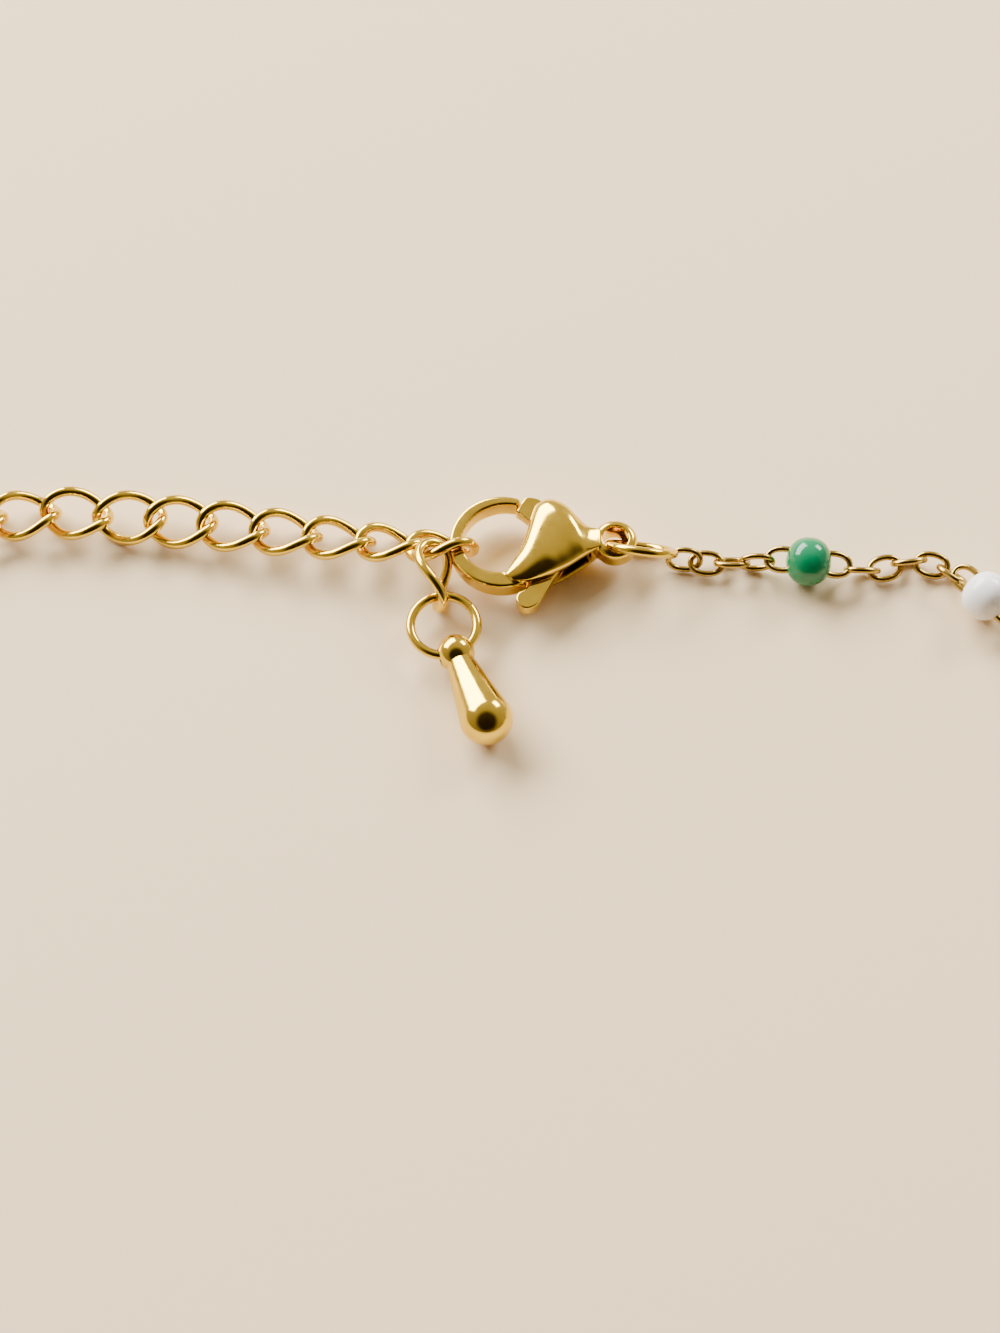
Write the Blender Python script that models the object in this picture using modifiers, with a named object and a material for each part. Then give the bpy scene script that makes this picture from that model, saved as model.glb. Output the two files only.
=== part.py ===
"""Gold-tone bead necklace, lying closed on a flat surface.

A fine cable chain carries small enamel beads. A lobster clasp at one end is hooked to a curb
extension chain at the other, and a teardrop end hangs from the last extension link.
All sizes are in millimetres until they are multiplied by MM.
The frame has +Z up, and its origin is on the surface, at the middle of the loop.
"""

import math

import bmesh
import bpy
import numpy as np
from mathutils import Euler, Vector

MM = 0.001

# Layout. The fastening point is the place on the surface that the clasp is laid out from.
FASTENING = (2.6, 68.8)
SURFACE_GAP = 0.02
CONTACT_GAP = 0.05

# Route of the chain, from the clasp ring round the loop to the hooked link, from the fastening point.
CHAIN_ROUTE = (
    (9.0, -1.2), (12.1, -1.47), (15.0, -1.52), (17.69, -1.82), (20.5, -2.0), (23.1, -1.5),
    (25.3, -2.3), (27.2, -4.3), (31.5, -7.4), (41.0, -13.5), (52.5, -25.5), (61.5, -42.0),
    (66.3, -62.0), (65.2, -84.0), (58.0, -104.5), (44.0, -122.5), (24.0, -134.8), (-1.5, -139.3),
    (-26.0, -135.6), (-47.5, -123.5), (-62.0, -105.5), (-70.0, -84.5), (-71.5, -62.5),
    (-66.5, -41.0), (-56.0, -22.5), (-43.5, -8.6), (-34.0, -1.6), (-26.0, 1.1), (-19.5, 1.1),
    (-13.6, 0.5), (-7.7, -0.26), (-1.93, -0.83),
)

# Curb extension chain
LINK_LENGTH = 4.12
LINK_WIDTH = 3.0
LINK_WIRE = 0.54
LINK_TWIST = 45.0
LINK_SEGMENTS = 14

# Turn of each extension link about its length and away from the route, in degrees, from the hook
LINK_LAY = (
    (-32.0, 0.0), (-20.0, 0.0), (-10.0, 0.0), (2.0, -2.0), (14.0, 4.0), (26.0, 4.0), (12.0, -6.0),
    (0.0, 0.0), (0.0, 2.0), (5.0, 0.0), (-4.0, 0.0), (0.0, -2.0), (4.0, 0.0), (-4.0, 0.0),
    (0.0, 0.0),
)

# Jump rings
RING_DIAMETER = 4.0
RING_WIRE = 0.5
RING_CUT = 0.08
RING_SEGMENTS = 20

# Fine beaded chain
TUBE_DIAMETER = 1.2
BEAD_DIAMETER = 2.6
BEAD_LENGTH = 2.4
FIRST_BEAD = 6.9
SECOND_BEAD = 10.2
BEAD_PITCH = 11.2
BEAD_SETTLE = 1.6

# Teardrop end
DROP_LENGTH = 6.65
DROP_HEAD = 2.0
DROP_NECK = 1.35
DROP_FLARE = 2.38
DROP_BALL = 2.8
DROP_HOLE = 0.95
DROP_HEADING = -68.0
DROP_SIDES = 16

# Lobster clasp
CLASP_LENGTH = 9.93
CHEEK_HEIGHT = 1.35
CHEEK_RIM = 0.645
CHEEK_CROWN = 0.38
HOOK_RADIUS = 2.8
HOOK_HEIGHT = 1.15
HOOK_EDGE = 0.14
EYE_DIAMETER = 2.2
EYE_HOLE = 1.4
EYE_HEIGHT = 1.1
SLOT_HEIGHT = 0.95
LEVER_THICKNESS = 0.75
PIN_DIAMETER = 0.44
PIN_FIT = 0.05
PIN_SEAT = 0.22
TIP_GAP = 0.07

# Plan of the clasp as shares of its length, from the fastening point
HOOK_CENTRE = (0.1208, -0.0876)
EYE_CENTRE = (0.7281, -0.0715)
PIVOT = (0.423, 0.035)

# Cheek sections from the hook's root to the neck: upper edge, lower edge, share of the crown's height
CHEEK_SECTIONS = (
    (0.136, -0.297, 0.176, -0.337, 0.10),
    (0.176, -0.222, 0.252, -0.342, 0.45),
    (0.222, -0.131, 0.322, -0.322, 0.80),
    (0.252, -0.030, 0.393, -0.292, 1.00),
    (0.277, 0.060, 0.453, -0.260, 1.00),
    (0.307, 0.131, 0.504, -0.227, 1.00),
    (0.373, 0.163, 0.539, -0.201, 1.00),
    (0.453, 0.131, 0.564, -0.184, 0.88),
    (0.524, 0.055, 0.584, -0.169, 0.60),
    (0.579, -0.005, 0.604, -0.151, 0.30),
    (0.640, -0.030, 0.640, -0.121, 0.05),
)

# Width of the hook's band from its tip to its root, as shares of the clasp's length
HOOK_WIDTHS = (0.048, 0.062, 0.066, 0.066, 0.076, 0.094, 0.100)

# Outline of the lever: gate top, hub side, thumb tab and inner side, as shares of the clasp's length
LEVER_GATE = ((0.228, 0.172), (0.247, 0.195), (0.290, 0.196), (0.337, 0.173), (0.395, 0.100))
LEVER_THUMB = (
    (0.478, -0.050), (0.473, -0.141), (0.433, -0.242), (0.380, -0.322), (0.325, -0.418),
    (0.295, -0.463), (0.255, -0.488), (0.221, -0.476), (0.200, -0.440), (0.204, -0.398),
    (0.250, -0.362),
)
LEVER_INNER = ((0.285, -0.290), (0.312, -0.200), (0.322, -0.100), (0.306, -0.020), (0.270, 0.040),
               (0.230, 0.082), (0.196, 0.108))
HUB_RADIUS = 0.5

# Outline of the slot between the cheeks, as shares of the clasp's length
SLOT_OUTLINE = (
    (0.235, -0.420), (0.247, -0.292), (0.252, -0.222), (0.222, -0.131), (0.120, -0.100),
    (0.120, 0.240), (0.345, 0.240), (0.395, 0.128), (0.455, 0.085), (0.534, 0.010),
    (0.569, -0.060), (0.579, -0.121), (0.640, -0.260), (0.500, -0.420),
)

# Pose of the hooked link: play inside the hook's band, turn about its length, rise toward the hook
HOOK_PLAY = 0.39
HOOKED_ROLL = -45.0
HOOKED_PITCH = 9.0
HOOKED_HEADING = -7.0

# Pose of the end link that the drop hangs from, offset from the hooked link in shares of a link
END_ROLL = -66.0
END_PITCH = -16.0
END_HEADING = -81.0
END_OFFSET = (-0.064, -0.469, 0.077)

# Poses of the rings. The drop ring is offset from the end link in shares of a link.
CLASP_RING_ROLL = -55.0
CLASP_RING_HEADING = -9.0
CLASP_RING_SHIFT = -0.33
DROP_RING_OFFSET = (0.106, -0.689, -0.090)
DROP_RING_ROLL = 1.5
DROP_RING_CUT_ANGLE = 38.0
END_RING_ROLL = -15.0

# Looks
GOLD = (0.62, 0.40, 0.12, 1.0)
GREEN = (0.01, 0.30, 0.13, 1.0)
WHITE = (0.85, 0.82, 0.85, 1.0)


def start_scene():
    """Empties the file and makes the collections for the necklace and for its cutters."""
    for item in list(bpy.data.objects):
        bpy.data.objects.remove(item, do_unlink=True)
    part = bpy.data.collections.new("bead_necklace")
    tools = bpy.data.collections.new("cutters")
    bpy.context.scene.collection.children.link(part)
    bpy.context.scene.collection.children.link(tools)
    return part, tools


def make_material(name, colour, metallic, roughness):
    material = bpy.data.materials.new(name)
    material.use_nodes = True
    shader = material.node_tree.nodes["Principled BSDF"]
    shader.inputs["Base Color"].default_value = colour
    shader.inputs["Metallic"].default_value = metallic
    shader.inputs["Roughness"].default_value = roughness
    return material


def smooth_line(points, steps):
    """Samples a smooth line that passes through the points."""
    points = np.array(points, dtype=float)
    before = 2.0 * points[0] - points[1]
    after = 2.0 * points[-1] - points[-2]
    padded = np.vstack([before, points, after])
    line = []
    for index in range(1, len(padded) - 2):
        p0, p1, p2, p3 = padded[index - 1:index + 3]
        for step in range(steps):
            t = step / steps
            line.append(0.5 * (2.0 * p1 + (p2 - p0) * t
                               + (2.0 * p0 - 5.0 * p1 + 4.0 * p2 - p3) * t * t
                               + (3.0 * p1 - p0 - 3.0 * p2 + p3) * t ** 3))
    line.append(points[-1])
    return np.array(line)


def measure_route():
    """Returns the route as a fine line and the length reached at each of its points."""
    line = smooth_line(CHAIN_ROUTE, 40)
    spans = np.linalg.norm(np.diff(line, axis=0), axis=1)
    return line, np.concatenate([[0.0], np.cumsum(spans)])


def route_at(route, distance):
    """Place and heading on the route at a distance from its start."""
    line, lengths = route
    place = [np.interp(distance, lengths, line[:, axis]) for axis in range(2)]
    ahead = [np.interp(distance + 0.6, lengths, line[:, axis]) for axis in range(2)]
    behind = [np.interp(distance - 0.6, lengths, line[:, axis]) for axis in range(2)]
    heading = math.atan2(ahead[1] - behind[1], ahead[0] - behind[0])
    return np.array(place), heading


def link_line():
    """Centre line of a curb link along X, whose two ends are twisted opposite ways."""
    half_length = (LINK_LENGTH - LINK_WIRE) / 2.0
    half_width = (LINK_WIDTH - LINK_WIRE) / 2.0
    line = []
    for step in range(LINK_SEGMENTS):
        angle = 2.0 * math.pi * step / LINK_SEGMENTS
        turn = -math.radians(LINK_TWIST) * math.cos(angle)
        across = half_width * math.sin(angle)
        line.append((half_length * math.cos(angle), across * math.cos(turn), across * math.sin(turn)))
    return np.array(line)


def ring_line(start=0.0, sweep=360.0):
    """Centre line of a jump ring in the XY plane, closed when it sweeps a full turn."""
    radius = (RING_DIAMETER - RING_WIRE) / 2.0
    closed = sweep >= 360.0
    count = RING_SEGMENTS if closed else RING_SEGMENTS + 1
    line = []
    for step in range(count):
        angle = math.radians(start + sweep * step / RING_SEGMENTS)
        line.append((radius * math.cos(angle), radius * math.sin(angle), 0.0))
    return np.array(line)


def turn_of(roll, pitch, heading):
    """Rotation from a turn about the length, a rise of the far end and a heading, in degrees."""
    return Euler((math.radians(roll), -math.radians(pitch), math.radians(heading)))


def posed(line, place, turn):
    return line @ np.array(turn.to_matrix()).T + np.array(place)


def fine_points(line):
    """Points along a closed line, close enough together to measure clearances from."""
    ahead = np.roll(line, -1, axis=0)
    shares = np.linspace(0.0, 1.0, 8, endpoint=False)[:, None, None]
    return (line[None] * (1.0 - shares) + ahead[None] * shares).reshape(-1, 3)


def clearance(first, second):
    """Smallest distance between two closed centre lines."""
    a = fine_points(first)
    b = fine_points(second)
    return float(np.linalg.norm(a[:, None] - b[None], axis=2).min())


def resting_height(line, wire):
    """Height at which a turned wire piece touches the surface."""
    return SURFACE_GAP + wire / 2.0 - float(line[:, 2].min())


def hang_next(route, distance, previous, previous_wire, line, wire, length, roll, swing):
    """Pose of the next link or ring along the route, drawn tight against the one before it."""
    need = (previous_wire + wire) / 2.0 + CONTACT_GAP
    lifts = [share * wire for share in (0.0, 0.2, 0.4, 0.6, 0.8)]
    best = None
    for step in np.arange(length + 0.1, length * 0.7, -0.02):
        centre, heading = route_at(route, distance - step)
        turn = turn_of(roll, 0.0, math.degrees(heading) + swing)
        turned = posed(line, (0.0, 0.0, 0.0), turn)
        height = resting_height(turned, wire)
        for lift in lifts:
            place = np.array([centre[0], centre[1], height + lift])
            gap = clearance(previous, turned + place)
            if best is None or gap > best[0]:
                best = (gap, place, turn, float(step))
            if gap >= need:
                return place, turn, float(step)
    return best[1], best[2], best[3]


def lay_extension(route):
    """Poses of the extension links, from the hooked one away along the route."""
    line = link_line()
    hook_inner = CLASP_LENGTH * HOOK_CENTRE[0] - HOOK_RADIUS + CLASP_LENGTH * HOOK_WIDTHS[2]
    reach = LINK_LENGTH / 2.0 * math.cos(math.radians(HOOKED_PITCH))
    hooked_x = hook_inner + HOOK_PLAY + LINK_WIRE - reach
    band_offset = hook_inner - CLASP_LENGTH * HOOK_WIDTHS[2] / 2.0 - hooked_x
    hooked_z = SURFACE_GAP + CHEEK_HEIGHT - band_offset * math.sin(math.radians(HOOKED_PITCH))
    distance = route[1][-1] + hooked_x - CHAIN_ROUTE[-1][0]
    place = np.array([hooked_x, CHAIN_ROUTE[-1][1], hooked_z])
    turn = turn_of(HOOKED_ROLL, HOOKED_PITCH, HOOKED_HEADING)
    poses = [(place, turn)]
    previous = posed(line, place, turn)
    for roll, swing in LINK_LAY:
        length = LINK_LENGTH - 2.0 * LINK_WIRE
        place, turn, step = hang_next(route, distance, previous, LINK_WIRE, line, LINK_WIRE, length, roll, swing)
        distance -= step
        poses.append((place, turn))
        previous = posed(line, place, turn)
    return poses, distance


def lay_end_link(hooked_place):
    """Pose of the end link, whose upper end passes round the near wire of the hooked link."""
    place = np.array(hooked_place) + np.array(END_OFFSET) * LINK_LENGTH
    return place, turn_of(END_ROLL, END_PITCH, END_HEADING)


def wire_object(name, line, wire, sides, closed, material, collection, place, turn):
    """A round wire along a centre line, as a curve with a bevel."""
    curve = bpy.data.curves.new(name, "CURVE")
    curve.dimensions = "3D"
    curve.bevel_depth = wire / 2.0 * MM
    curve.bevel_resolution = (sides - 4) // 2
    curve.use_fill_caps = True
    spline = curve.splines.new("POLY")
    spline.points.add(len(line) - 1)
    for point, position in zip(spline.points, line):
        point.co = (position[0] * MM, position[1] * MM, position[2] * MM, 1.0)
    spline.use_cyclic_u = closed
    spline.use_smooth = True
    curve.materials.append(material)
    item = bpy.data.objects.new(name, curve)
    collection.objects.link(item)
    item.location = on_surface(place)
    item.rotation_euler = turn
    return item


def on_surface(place):
    """World position in metres of a place measured from the fastening point."""
    return Vector(((place[0] + FASTENING[0]) * MM, (place[1] + FASTENING[1]) * MM, place[2] * MM))


def bead_profile():
    """Distances from a bead's middle and the radius of bead or chain there, from end to end."""
    rounding = ((-1.0, 0.0), (-0.86, 0.52), (-0.5, 0.9), (0.0, 1.0), (0.5, 0.9), (0.86, 0.52), (1.0, 0.0))
    tube = TUBE_DIAMETER / 2.0
    swell = BEAD_DIAMETER / 2.0 - tube
    return [(share * BEAD_LENGTH / 2.0, tube + swell * rise) for share, rise in rounding]


def beaded_line(route, start, finish, beads):
    """Points and radii of the fine chain between two distances along the route."""
    tube = TUBE_DIAMETER / 2.0
    low = tube + SURFACE_GAP
    high = BEAD_DIAMETER / 2.0 + SURFACE_GAP
    stations = [(start, low, tube)]
    for bead in beads:
        if start < bead < finish:
            stations.append((bead - BEAD_LENGTH / 2.0 - BEAD_SETTLE, low, tube))
            for offset, radius in bead_profile():
                stations.append((bead + offset, high, radius))
            stations.append((bead + BEAD_LENGTH / 2.0 + BEAD_SETTLE, low, tube))
    stations.append((finish, low, tube))
    line = []
    radii = []
    for distance, height, radius in stations:
        place, heading = route_at(route, distance)
        line.append((place[0], place[1], height))
        radii.append(radius / tube)
    return np.array(line), radii


def bead_distances(start, finish):
    distances = [start + FIRST_BEAD, start + FIRST_BEAD + SECOND_BEAD]
    while distances[-1] + BEAD_PITCH < finish - BEAD_LENGTH:
        distances.append(distances[-1] + BEAD_PITCH)
    return distances


def mesh_object(name, mesh_data, material, collection, place):
    mesh = bpy.data.meshes.new(name)
    mesh_data.to_mesh(mesh)
    mesh_data.free()
    mesh.materials.append(material)
    item = bpy.data.objects.new(name, mesh)
    collection.objects.link(item)
    item.location = on_surface(place)
    return item


def loft(rings):
    """Closed solid through a row of rings with the same number of points, capped at both ends."""
    solid = bmesh.new()
    rows = [[solid.verts.new([value * MM for value in point]) for point in ring] for ring in rings]
    count = len(rows[0])
    for first, second in zip(rows, rows[1:]):
        for index in range(count):
            after = (index + 1) % count
            solid.faces.new((first[index], first[after], second[after], second[index]))
    solid.faces.new(list(reversed(rows[0])))
    solid.faces.new(rows[-1])
    bmesh.ops.recalc_face_normals(solid, faces=solid.faces)
    return solid


def prism(outline, half_height):
    """Closed solid of a plan outline between two heights either side of the middle plane."""
    low = [(x, y, -half_height) for x, y in outline]
    high = [(x, y, half_height) for x, y in outline]
    return loft([low, high])


def cylinder(radius, height, sides, centre):
    solid = bmesh.new()
    bmesh.ops.create_cone(solid, cap_ends=True, segments=sides, radius1=radius * MM,
                          radius2=radius * MM, depth=height * MM)
    bmesh.ops.translate(solid, verts=solid.verts, vec=(centre[0] * MM, centre[1] * MM, 0.0))
    return solid


def clasp_plan(shares):
    return np.array([(x * CLASP_LENGTH, y * CLASP_LENGTH) for x, y in shares])


def cheek_rings():
    """Sections of the domed body, each a flat crown with rounded shoulders down to the rim."""
    crown = CHEEK_CROWN
    across = (-1.0, -0.95, -0.82, -0.62, -crown, crown, 0.62, 0.82, 0.95, 1.0)
    rings = []
    for upper_x, upper_y, lower_x, lower_y, share in CHEEK_SECTIONS:
        upper = np.array([upper_x, upper_y]) * CLASP_LENGTH
        lower = np.array([lower_x, lower_y]) * CLASP_LENGTH
        top = []
        for part in across:
            centre = (upper + lower) / 2.0 + (lower - upper) / 2.0 * part
            fall = (abs(part) - crown) / (1.0 - crown)
            height = CHEEK_RIM + (CHEEK_HEIGHT - CHEEK_RIM) * share * math.sqrt(1.0 - fall * fall)
            top.append((centre[0], centre[1], height))
        bottom = [(x, y, -z) for x, y, z in reversed(top)]
        rings.append(top + bottom)
    return rings


def circles_meet(first, first_radius, second, second_radius):
    """Meeting point of two circles, on the left of the line from the second to the first."""
    gap = first - second
    distance = np.linalg.norm(gap)
    along = (second_radius ** 2 - first_radius ** 2 + distance ** 2) / (2.0 * distance)
    rise = math.sqrt(second_radius ** 2 - along ** 2)
    unit = gap / distance
    return second + unit * along + np.array([unit[1], -unit[0]]) * rise


def gate_radius():
    """Distance from the pivot to the end of the gate."""
    corner = np.array(LEVER_INNER[-1]) - np.array(PIVOT)
    return float(np.linalg.norm(corner)) * CLASP_LENGTH


def hook_rings():
    """Sections of the hook's band, from its tip, which is cut to clear the gate, to its root."""
    centre = np.array(HOOK_CENTRE) * CLASP_LENGTH
    pivot = np.array(PIVOT) * CLASP_LENGTH
    widths = np.array(HOOK_WIDTHS) * CLASP_LENGTH
    half = HOOK_HEIGHT / 2.0
    reach = gate_radius() + TIP_GAP
    tip = []
    for radius in (HOOK_RADIUS, HOOK_RADIUS - widths[0]):
        meet = circles_meet(centre, radius, pivot, reach) - centre
        tip.append(math.atan2(meet[1], meet[0]))
    root = math.radians(298.0)
    count = 24
    rings = []
    for step in range(count + 1):
        share = step / count
        width = np.interp(share, np.linspace(0.0, 1.0, len(widths)), widths)
        ring = []
        edges = ((0, 0.0, half - HOOK_EDGE), (0, HOOK_EDGE, half),
                 (1, HOOK_EDGE, half), (1, 0.0, half - HOOK_EDGE))
        for side, inset, height in edges:
            angle = tip[side] + (root - tip[side]) * share
            radius = HOOK_RADIUS - inset if side == 0 else HOOK_RADIUS - width + inset
            ring.append((centre[0] + radius * math.cos(angle), centre[1] + radius * math.sin(angle), height))
        ring += [(x, y, -z) for x, y, z in reversed(ring)]
        rings.append(ring)
    return rings


def combine(target, other, operation):
    """Joins or cuts one object with another through a Boolean modifier."""
    modifier = target.modifiers.new(other.name, "BOOLEAN")
    modifier.operation = operation
    modifier.object = other
    modifier.solver = "EXACT"
    other.hide_render = True
    other.display_type = "WIRE"


def make_clasp(gold, part, tools):
    middle = (0.0, 0.0, CHEEK_HEIGHT + SURFACE_GAP)
    pivot = np.array(PIVOT) * CLASP_LENGTH
    eye = np.array(EYE_CENTRE) * CLASP_LENGTH

    body = mesh_object("clasp_body", loft(cheek_rings()), gold, part, middle)
    slot = prism(clasp_plan(SLOT_OUTLINE), SLOT_HEIGHT / 2.0)
    combine(body, mesh_object("lever_slot", slot, gold, tools, middle), "DIFFERENCE")
    hook = mesh_object("hook_band", loft(hook_rings()), gold, tools, middle)
    combine(body, hook, "UNION")
    eye_disc = cylinder(EYE_DIAMETER / 2.0, EYE_HEIGHT, 28, eye)
    bmesh.ops.bevel(eye_disc, geom=[edge for edge in eye_disc.edges if abs(
        edge.verts[0].co.z - edge.verts[1].co.z) < 1e-9], offset=HOOK_EDGE * MM, segments=1,
        affect="EDGES")
    combine(body, mesh_object("eye_disc", eye_disc, gold, tools, middle), "UNION")
    eye_hole = cylinder(EYE_HOLE / 2.0, 2.0 * EYE_HEIGHT, 24, eye)
    combine(body, mesh_object("eye_hole", eye_hole, gold, tools, middle), "DIFFERENCE")
    seat = cylinder(PIN_DIAMETER / 2.0 + PIN_FIT, SLOT_HEIGHT + 2.0 * (PIN_SEAT + PIN_FIT), 14, pivot)
    combine(body, mesh_object("pin_seat", seat, gold, tools, middle), "DIFFERENCE")

    pin = cylinder(PIN_DIAMETER / 2.0, SLOT_HEIGHT + 2.0 * PIN_SEAT, 12, (0.0, 0.0))
    mesh_object("clasp_pin", pin, gold, part, (pivot[0], pivot[1], middle[2]))

    make_lever(gold, part, (pivot[0], pivot[1], middle[2]))


def make_lever(gold, part, place):
    """The gate and thumb lever as a flat plate, with its origin on the pivot."""
    pivot = np.array(PIVOT) * CLASP_LENGTH
    outline = [tuple(point) for point in clasp_plan(LEVER_GATE)]
    for degrees in (75.0, 45.0, 15.0, -15.0):
        angle = math.radians(degrees)
        outline.append((pivot[0] + HUB_RADIUS * math.cos(angle), pivot[1] + HUB_RADIUS * math.sin(angle)))
    outline += [tuple(point) for point in clasp_plan(LEVER_THUMB)]
    outline += [tuple(point) for point in clasp_plan(LEVER_INNER)]
    reach = gate_radius()
    first = math.atan2(LEVER_INNER[-1][1] - PIVOT[1], LEVER_INNER[-1][0] - PIVOT[0])
    for step in (1, 2, 3):
        angle = first - math.radians(3.0) * step
        outline.append((pivot[0] + reach * math.cos(angle), pivot[1] + reach * math.sin(angle)))

    curve = bpy.data.curves.new("clasp_lever", "CURVE")
    curve.dimensions = "2D"
    curve.fill_mode = "BOTH"
    curve.extrude = LEVER_THICKNESS / 2.0 * MM
    hole = []
    for step in range(14):
        angle = 2.0 * math.pi * step / 14
        radius = PIN_DIAMETER / 2.0 + PIN_FIT
        hole.append((pivot[0] + radius * math.cos(angle), pivot[1] + radius * math.sin(angle)))
    for loop in (outline, hole):
        spline = curve.splines.new("POLY")
        spline.points.add(len(loop) - 1)
        for point, position in zip(spline.points, loop):
            point.co = ((position[0] - pivot[0]) * MM, (position[1] - pivot[1]) * MM, 0.0, 1.0)
        spline.use_cyclic_u = True
    curve.materials.append(gold)
    lever = bpy.data.objects.new("clasp_lever", curve)
    part.objects.link(lever)
    lever.location = on_surface(place)


def make_drop(gold, part, tools, place, turn):
    """The turned teardrop end, with its origin at the middle of the head's cross hole."""
    head = DROP_HEAD / 2.0
    ball = DROP_BALL / 2.0
    ball_centre = DROP_LENGTH - head - ball
    profile = []
    for degrees in (180.0, 160.0, 135.0, 110.0, 85.0, 60.0):
        angle = math.radians(degrees)
        profile.append((head * math.cos(angle), head * math.sin(angle)))
    profile.append((head * 0.86, DROP_NECK / 2.0))
    flare_start = ball_centre - ball * 0.78
    profile.append((flare_start, DROP_FLARE / 2.0))
    first = math.acos(-0.22)
    for step in range(9):
        angle = first * (1.0 - step / 8.0)
        profile.append((ball_centre + ball * math.cos(angle), ball * math.sin(angle)))

    mesh = bpy.data.meshes.new("drop")
    solid = bmesh.new()
    rows = []
    for along, radius in profile:
        rows.append(solid.verts.new((along * MM, max(radius, 0.0) * MM, 0.0)))
    for first_vert, second_vert in zip(rows, rows[1:]):
        solid.edges.new((first_vert, second_vert))
    solid.to_mesh(mesh)
    solid.free()
    mesh.materials.append(gold)
    drop = bpy.data.objects.new("drop", mesh)
    part.objects.link(drop)
    drop.location = on_surface(place)
    drop.rotation_euler = turn
    screw = drop.modifiers.new("turned", "SCREW")
    screw.axis = "X"
    screw.angle = 2.0 * math.pi
    screw.steps = DROP_SIDES
    screw.render_steps = DROP_SIDES
    screw.use_merge_vertices = True
    screw.merge_threshold = 1e-6
    screw.use_normal_calculate = True
    cutter = cylinder(DROP_HOLE / 2.0, 2.0 * DROP_HEAD, 14, (0.0, 0.0))
    bmesh.ops.rotate(cutter, verts=cutter.verts, cent=(0.0, 0.0, 0.0),
                     matrix=Euler((math.pi / 2.0, 0.0, 0.0)).to_matrix())
    shift = DROP_HOLE / 2.0 - RING_WIRE / 2.0 - 2.0 * CONTACT_GAP
    bmesh.ops.translate(cutter, verts=cutter.verts, vec=(-shift * MM, 0.0, 0.0))
    hole = mesh_object("drop_hole", cutter, gold, tools, place)
    hole.rotation_euler = turn
    combine(drop, hole, "DIFFERENCE")


def build():
    part, tools = start_scene()
    gold = make_material("gold", GOLD, 1.0, 0.16)
    green = make_material("enamel_green", GREEN, 0.0, 0.12)
    white = make_material("enamel_white", WHITE, 0.0, 0.12)
    route = measure_route()
    flat = Euler((0.0, 0.0, 0.0))

    make_clasp(gold, part, tools)

    poses, last_distance = lay_extension(route)
    line = link_line()
    for index, (place, turn) in enumerate(poses):
        name = f"extender_link_{index + 2:02d}"
        wire_object(name, line, LINK_WIRE, 6, True, gold, part, place, turn)
    end_place, end_turn = lay_end_link(poses[0][0])
    wire_object("extender_link_01", line, LINK_WIRE, 6, True, gold, part, end_place, end_turn)

    # The drop ring lies in the lower end of the end link, and the drop on the near side of the ring
    ring_radius = (RING_DIAMETER - RING_WIRE) / 2.0
    ring_place = end_place + np.array(DROP_RING_OFFSET) * LINK_LENGTH
    ring_turn = turn_of(DROP_RING_ROLL, 0.0, 0.0)
    heading = math.radians(DROP_HEADING)
    cut = math.degrees(RING_CUT / ring_radius)
    ring = ring_line(DROP_RING_CUT_ANGLE + cut / 2.0, 360.0 - cut)
    wire_object("drop_ring", ring, RING_WIRE, 8, False, gold, part, ring_place, ring_turn)
    near_side = ring_turn.to_matrix() @ Vector((math.cos(heading), math.sin(heading), 0.0))
    drop_place = ring_place + ring_radius * np.array(near_side)
    rise = DROP_BALL / 2.0 + SURFACE_GAP - drop_place[2]
    pitch = math.degrees(math.asin(rise / (DROP_LENGTH - DROP_HEAD / 2.0 - DROP_BALL / 2.0)))
    make_drop(gold, part, tools, drop_place, turn_of(0.0, pitch, DROP_HEADING))

    # The clasp ring goes through the eye, and its far side carries the fine chain
    eye = np.array(EYE_CENTRE) * CLASP_LENGTH
    tilt = turn_of(CLASP_RING_ROLL, 0.0, CLASP_RING_HEADING)
    height = resting_height(posed(ring_line(), (0.0, 0.0, 0.0), tilt), RING_WIRE)
    away = math.radians(CLASP_RING_HEADING)
    reach = ring_radius - (EYE_HOLE / 2.0 - RING_WIRE / 2.0 - 2.0 * CONTACT_GAP)
    ring_x = eye[0] + reach * math.cos(away)
    ring_y = eye[1] + reach * math.sin(away) + CLASP_RING_SHIFT
    wire_object("clasp_ring", ring_line(), RING_WIRE, 8, True, gold, part, (ring_x, ring_y, height), tilt)

    # The end ring joins the last extension link to the far end of the fine chain
    link = posed(line, poses[-1][0], poses[-1][1])
    length = (RING_DIAMETER + LINK_LENGTH) / 2.0 - RING_WIRE - LINK_WIRE
    place, turn, step = hang_next(route, last_distance, link, LINK_WIRE, ring_line(), RING_WIRE, length,
                                  END_RING_ROLL, 0.0)
    wire_object("end_ring", ring_line(), RING_WIRE, 8, True, gold, part, place, turn)

    # The fine chain in two halves that meet between two beads on the far side of the loop
    start = ring_x + ring_radius * math.cos(away) + RING_WIRE / 2.0 + CONTACT_GAP - CHAIN_ROUTE[0][0]
    finish = last_distance - step - RING_DIAMETER / 2.0 - CONTACT_GAP
    beads = bead_distances(start, finish)
    half = len(beads) // 2
    meeting = (beads[half - 1] + beads[half]) / 2.0
    spans = (("beaded_chain_right", start, meeting, green),
             ("beaded_chain_left", meeting + CONTACT_GAP, finish, white))
    for name, begin, end, enamel in spans:
        points, radii = beaded_line(route, begin, end, beads)
        chain = wire_object(name, points, TUBE_DIAMETER, 10, False, enamel, part, (0.0, 0.0, 0.0), flat)
        for point, radius in zip(chain.data.splines[0].points, radii):
            point.radius = radius


build()
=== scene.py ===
"""Dressed scene of the gold-tone bead necklace, lying on a plain pale surface."""

import math

import bmesh
import bpy
import numpy as np
from mathutils import Euler, Matrix, Vector


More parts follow.
